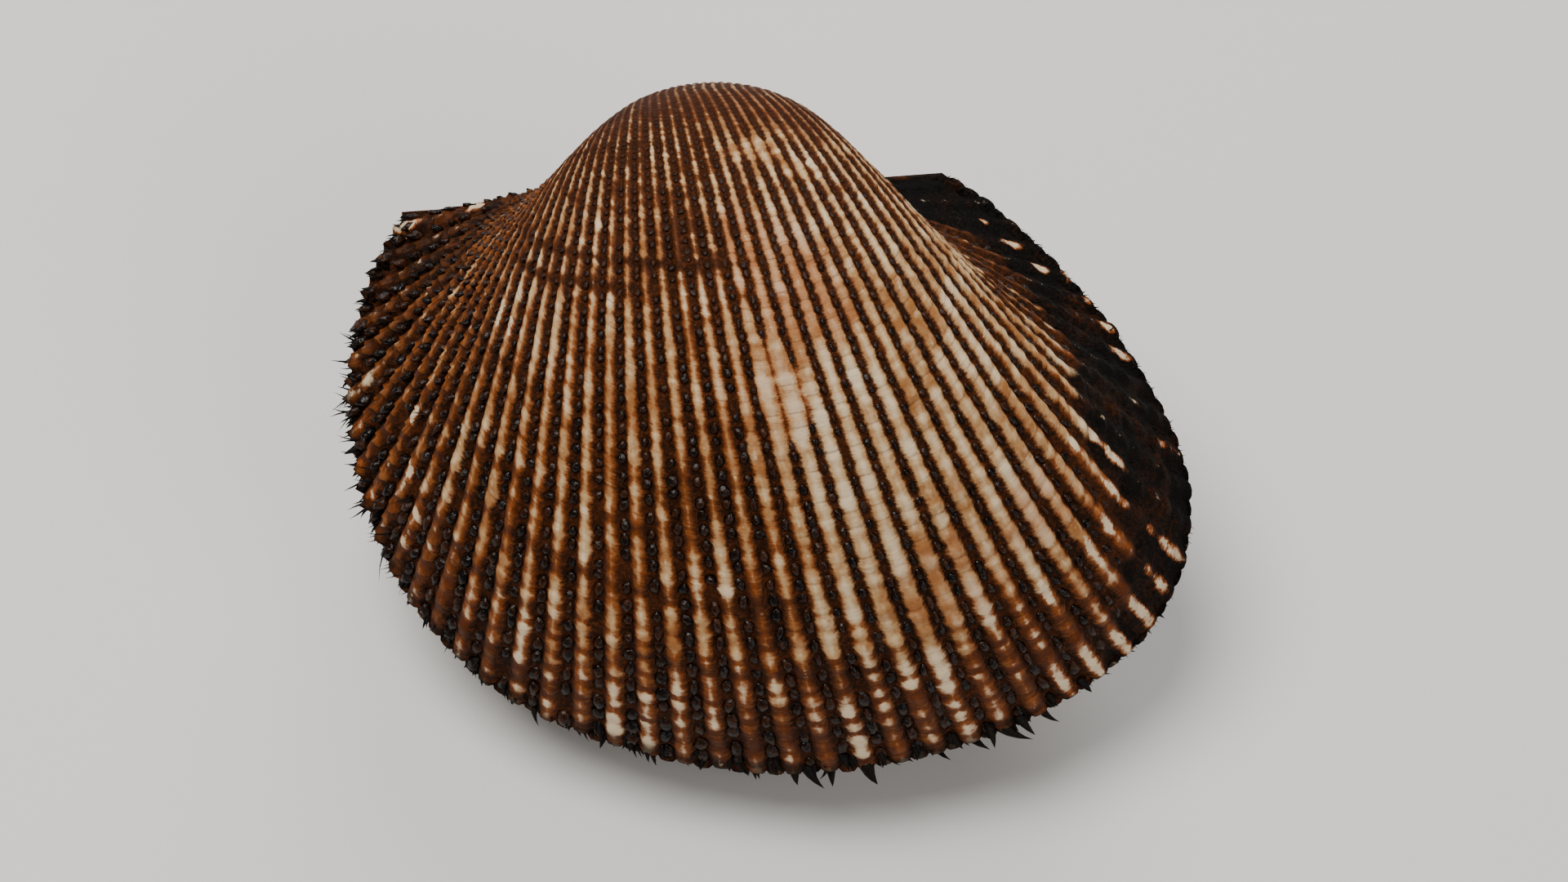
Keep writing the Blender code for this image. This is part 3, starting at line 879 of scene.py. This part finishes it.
def add_patterns(on):
    """Keep what the shell gives at each point, and the chance patterns over it, on the nodes."""
    for label in (*MASKS, "rib", "knob", "turn", "hinge", "inside"):
        setattr(on, label, on.value_of(label))
    rib, knob, number = on.rib, on.knob, on.math("FLOOR", on.rib)
    on.at = on.add("ShaderNodeTexCoord").outputs["Object"]
    on.to_crest = on.product(on.math("ABSOLUTE", on.less(on.less(rib, number), 0.5)), 2.0)
    on.beat = on.math("COSINE", on.product(knob, 2 * math.pi))
    one_knob = on.place(number, on.math("FLOOR", knob), 0.0)
    on.chance = on.add("ShaderNodeTexWhiteNoise", {"Vector": one_knob},
                       noise_dimensions="2D").outputs["Value"]
    on.fuzz = on.noise(on.at, FUZZ_SCALE, 2.0, 0.8)
    on.cloud = on.noise(on.at, CLOUD_SCALE, 2.0, 0.6)
    on.mottle = on.noise(on.at, MOTTLE_SCALE, 2.0, 0.6)
    on.fibre = on.rib_noise((rib, 1.6), (knob, 7.0), 3.0, 2.0, 0.75)
    on.long_run = on.rib_noise((number, 3.7), (knob, 0.13), 0.0, 1.0)
    on.short_run = on.rib_noise((number, 5.3), (knob, 0.6), 9.0)
    on.bite = on.rib_noise((rib, 1.5), (knob, 1.1), 21.0, 2.0, 0.6)
    on.strand = on.rib_noise((rib, 8.0), (knob, 0.8), 40.0, 2.0, 0.7)
    on.lines = on.rib_noise((rib, 0.5), (knob, 4.0), 5.0, 2.0, 0.7)
    on.jagged = on.total((on.fuzz, 0.40), (on.fibre, 0.34))


def add_edges(on):
    """Where the pale stripe ends on each rib, and where the dark furrow starts."""
    run = on.product(on.total(on.long_run, on.short_run, on.bite), on.total(0.35, on.breaks))
    lump = on.product(on.beat, on.total(0.03, (on.lip, 0.05)))
    seams = on.product(on.ramp(0.2, -0.9, on.beat, (on.fuzz, 0.8)),
                       on.ramp(0.40, 0.80, on.chance, on.bite))
    gap = on.product(seams, on.ramp(0.50, 0.12, on.turn))
    reach = on.total(on.stripe, run, lump, (on.jagged, 0.8), (on.stain, -0.6), (gap, -0.34))
    on.to_stripe = on.less(reach, on.to_crest)
    on.pale = on.ramp(-0.19, 0.17, on.to_stripe)
    dark_from = on.total(on.furrow, (on.short_run, 0.20), (on.bite, 0.25), (on.jagged, 0.9),
                         (on.stain, -0.25), (on.beat, 0.035))
    on.dark = on.ramp(-0.20, 0.16, on.less(on.to_crest, dark_from))
    on.pile = on.ramp(0.22, 0.72, on.velvet, (on.jagged, 0.9), (on.bite, 0.6),
                      (on.product(on.to_crest, on.velvet), 0.7), -0.12)


def crest_colour(on):
    """The pale stripe: tan to chalky, blushed in places, with fine growth lines across."""
    pale = on.ramp(-0.22, 0.08, on.cloud, (on.short_run, 0.15), (on.mottle, 0.6))
    bleach = on.ramp(0.04, 0.42, (on.short_run, 0.5), (on.lip, 0.34), on.cloud, (on.mottle, 0.4),
                     (on.ramp(0.05, 0.55, on.to_stripe), 0.22))
    seam = on.product(on.ramp(-0.80, -1.02, on.beat, (on.fuzz, 0.5)), on.ramp(0.25, 0.9, on.chance))
    colour = on.mix(bleach, on.mix(pale, TAN, CREAM), CHALK)
    colour = on.mix((on.blush, 0.65), colour, PEACH)
    colour = on.mix((on.ramp(0.08, 0.22, on.lines), 0.35), colour, TAN)
    return on.mix((seam, 0.40), colour, CHESTNUT)


def flank_colour(on):
    """The ribs' brown sides, which are scaly on the front of the shell, each scale with painted shade at
    its foot and a painted highlight at its free edge.
    """
    near = on.ramp(-0.55, 0.05, on.to_stripe, (on.mottle, 0.5), (on.cloud, 0.4))
    colour = on.mix(near, CHESTNUT, RUST)
    colour = on.mix((on.ramp(0.02, 0.30, on.fibre, on.mottle), 0.4), colour, TAN)
    gloom = on.total((on.stain, 0.5), (on.sooty, 0.5), (on.flank, 0.45), (on.lip, 0.10),
                     (on.ramp(0.7, 1.5, on.turn), 0.48))
    colour = on.mix(gloom, colour, BARK)
    # Front scales: their own rust and tan mottling, plus painted shade darkening each scale's foot and
    # the rib toward its furrows, and a painted highlight lightening each scale's raised free edge.
    slant = on.total(on.knob, (on.to_crest, -SCALE_POINT), (on.jagged, 0.4))
    climb = on.less(on.math("CEIL", slant), slant)
    scale_light_and_tone = on.total(climb, (on.mottle, 0.9), (on.strand, 1.5), (on.to_crest, -0.45))
    scale = on.mix(on.ramp(0.10, 0.95, scale_light_and_tone), BARK, RUST)
    scale = on.mix((on.ramp(0.50, 1.10, scale_light_and_tone, on.bite), 0.68), scale, TAN)
    return on.mix((on.front, 0.75), colour, scale)


def furrow_colour(on, base):
    colour = on.mix(on.ramp(-0.04, 0.26, on.fuzz), base, CHESTNUT)
    soot = on.product(on.ramp(0.08, -0.20, on.fuzz, on.cloud), on.ramp(2.3, -0.1, on.turn))
    return on.mix((soot, 0.78), colour, SOOT)


def velvet_colour(on):
    """The rear slope's dark pile, with a brown glow in streaks."""
    colour = on.mix(on.ramp(-0.06, 0.40, on.fuzz, (on.cloud, 1.2)), PITCH, BARK)
    glow = on.ramp(0.08, 0.42, (on.bite, 0.8), (on.cloud, 0.7), (on.strand, 0.6), (on.to_crest, -0.15))
    return on.mix((glow, 0.85), colour, CHESTNUT)


def spotted(on, colour):
    """The colour with pale spots on it. Only on dark skin do they have a rust edge."""
    mark = on.total(on.spot, (on.product(on.to_crest, on.to_crest), -6.0), (on.jagged, 3.0),
                    (on.bite, 2.6), -0.22)
    bare = on.product(on.pale, on.less(1.0, on.math("MAXIMUM", on.pile, on.dark)))
    halo = on.product(on.ramp(-0.45, 0.25, mark), on.ramp(0.02, 0.35, on.spot))
    colour = on.mix((halo, on.less(1.0, bare)), colour, RUST)
    return on.mix(on.ramp(0.08, 0.66, mark), colour, CHALK)


def rib_stripes_group():
    """The ribs' stripes: pale crest, rust flank and dark furrow, with the marks that cross them."""
    tree, on, given, out = new_group("rib stripes", (("Furrow colour", BARK), ("Brightness", 1.0)))
    add_patterns(on)
    add_edges(on)
    rim = on.mix(on.ramp(-0.1, 0.3, on.lines, on.mottle), SOOT, CHESTNUT)
    ear = on.mix(on.ramp(-0.10, 0.30, on.strand, (on.mottle, 0.8)), SOOT, CHESTNUT)
    hinge = on.mix(on.ramp(-0.1, 0.2, on.noise(on.at, HINGE_SCALE)), SOOT, CHESTNUT)
    colour = on.mix(on.pale, flank_colour(on), crest_colour(on))
    colour = on.mix((on.young, 0.42), colour, CHESTNUT)
    colour = on.mix(on.dark, colour, furrow_colour(on, given["Furrow colour"]))
    colour = on.mix((on.rim, 0.9), colour, rim)
    colour = on.mix(on.pile, colour, velvet_colour(on))
    colour = on.mix((on.ear, 0.80), colour, ear)
    colour = on.mix(on.hinge, spotted(on, colour), hinge)
    colour = on.mix(on.inside, colour, PORCELAIN)
    # Brightness dims the whole colour: painted shade where it is below 1, as on the lower valve.
    shade = on.add("ShaderNodeHueSaturation", {"Value": given["Brightness"], "Color": colour})
    matt = on.math("MAXIMUM", on.dark, on.pile)
    frayed = on.math("MAXIMUM", on.ramp(0.35, 0.75, on.to_crest), on.velvet)
    on.feed(out, {"Colour": shade.outputs["Color"],
                  "Roughness": on.total(0.52, (matt, 0.16), (on.mottle, 0.20)),
                  "Height": on.total((on.lines, 0.55), (on.fuzz, 0.35), (on.mottle, 0.5),
                                     (on.fuzz, on.product(frayed, 1.6)))})
    return tree


def new_material(name):
    made = bpy.data.materials.new(name)
    made.use_nodes = True
    return made, Nodes(made.node_tree), made.node_tree.nodes["Principled BSDF"]


def dressed(name, group, strength, distance, shine, **values):
    """A material that takes its look from a node group, with the group's inputs set to values."""
    made, nodes, shader = new_material(name)
    look = nodes.add("ShaderNodeGroup", node_tree=group)
    nodes.feed(look.inputs, values)
    bump = nodes.add("ShaderNodeBump", {"Height": look.outputs["Height"], "Strength": strength,
                                        "Distance": distance})
    nodes.feed(shader.inputs, {"Base Color": look.outputs["Colour"], "Specular IOR Level": shine,
                               "Roughness": look.outputs["Roughness"], "Normal": bump.outputs["Normal"]})
    return made


def floor():
    bpy.ops.mesh.primitive_plane_add(size=FLOOR_SIZE)
    plane = bpy.context.object
    plane.name = "floor"
    made, nodes, shader = new_material("pale floor")
    nodes.feed(shader.inputs, {"Base Color": FLOOR_COLOUR, "Roughness": 0.9})
    plane.data.materials.append(made)


def soft_light(name, place, size, power, colour):
    data = bpy.data.lights.new(name, "AREA")
    data.shape, data.size, data.energy, data.color = "DISK", size, power, colour
    lamp = placed(name, data)
    lamp.location = place
    lamp.rotation_euler = (LIGHT_TARGET - Vector(place)).to_track_quat("-Z", "Y").to_euler()


def surroundings():
    """The even light that comes from all sides."""
    world = bpy.data.worlds.new("studio")
    world.use_nodes = True
    light = world.node_tree.nodes["Background"].inputs
    light["Color"].default_value = (0.94, 0.93, 0.92, 1.0)
    light["Strength"].default_value = 0.22
    bpy.context.scene.world = world


# The stage: each light has a name, place, size, power and colour
FLOOR_SIZE = 3.0
FLOOR_COLOUR = srgb(226, 224, 220)
LIGHT_TARGET = Vector((0, 0, 0.02))
LIGHTS = (
    ("key light", (-0.25, 0.05, 0.75), 0.45, 6.5, (1.0, 0.985, 0.96)),
    ("fill light", (0.50, -0.50, 0.55), 0.6, 2.2, (0.97, 0.985, 1.0)),
    ("back light", (0.15, 0.60, 0.50), 0.5, 2.5, (1.0, 1.0, 1.0)),
)

# The camera, placed in the plane where the valves meet, from the spot its axis passes through
CAMERA_TILT = math.radians(6.4)
CAMERA_DISTANCE = 0.34
CAMERA_LENS = 84.15
VIEW_TURN = math.radians(-2.7)
VIEW_CENTRE = Vector((0.00748, -0.02463, 0.0))


def camera():
    data = bpy.data.cameras.new("camera")
    data.lens = CAMERA_LENS
    data.sensor_width = 36.0
    data.clip_start = 0.02
    eye = placed("camera", data)
    stand = Matrix.Rotation(CAMERA_TILT, 4, "X") @ Matrix.Translation((0, 0, CAMERA_DISTANCE))
    plane = Matrix.Rotation(VIEW_TURN, 4, "Z") @ Matrix.Translation(VIEW_CENTRE)
    eye.matrix_world = REST @ plane @ stand
    bpy.context.scene.camera = eye


# Each material has a group, the strength and depth of its bump, its shine and the group's values
stripes, skin = rib_stripes_group(), dried_skin_group()
left_shell = dressed("ribbed shell", stripes, 0.6, 0.00022, 0.09)
# The lower valve's copy of the shell is dimmed to 0.92 brightness: painted shade for the valve that lies
# underneath.
right_shell_painted_shade = dressed("ribbed shell of the lower valve", stripes, 0.6, 0.00022, 0.09, Brightness=0.92)
bead_skin = dressed("glossy dried skin", skin, 0.7, 0.00014, 0.19,
                    Dark=PITCH, Light=BARK, Grain=2600.0, Wrinkle=0.9, Gloss=0.53)
tuft_skin = dressed("torn skin", skin, 0.7, 0.00008, 0.12,
                    Dark=PITCH, Light=SOOT, Grain=3200.0, Wrinkle=0.3, Gloss=0.18)
leather = dressed("dried ligament", skin, 0.7, 0.0003, 0.12,
                  Dark=SOOT, Light=CHESTNUT, Grain=1400.0, Wrinkle=0.8, Gloss=0.30)

for side, offset, shell in ((1, 0.0, left_shell), (-1, 0.5, right_shell_painted_shade)):
    valve(side, offset).data.materials.append(shell)
    furrow_beads(side, offset).data.materials.append(bead_skin)
    tufts(side, offset).data.materials.append(tuft_skin)
ligament().data.materials.append(leather)

floor()
camera()
surroundings()
for row in LIGHTS:
    soft_light(*row)
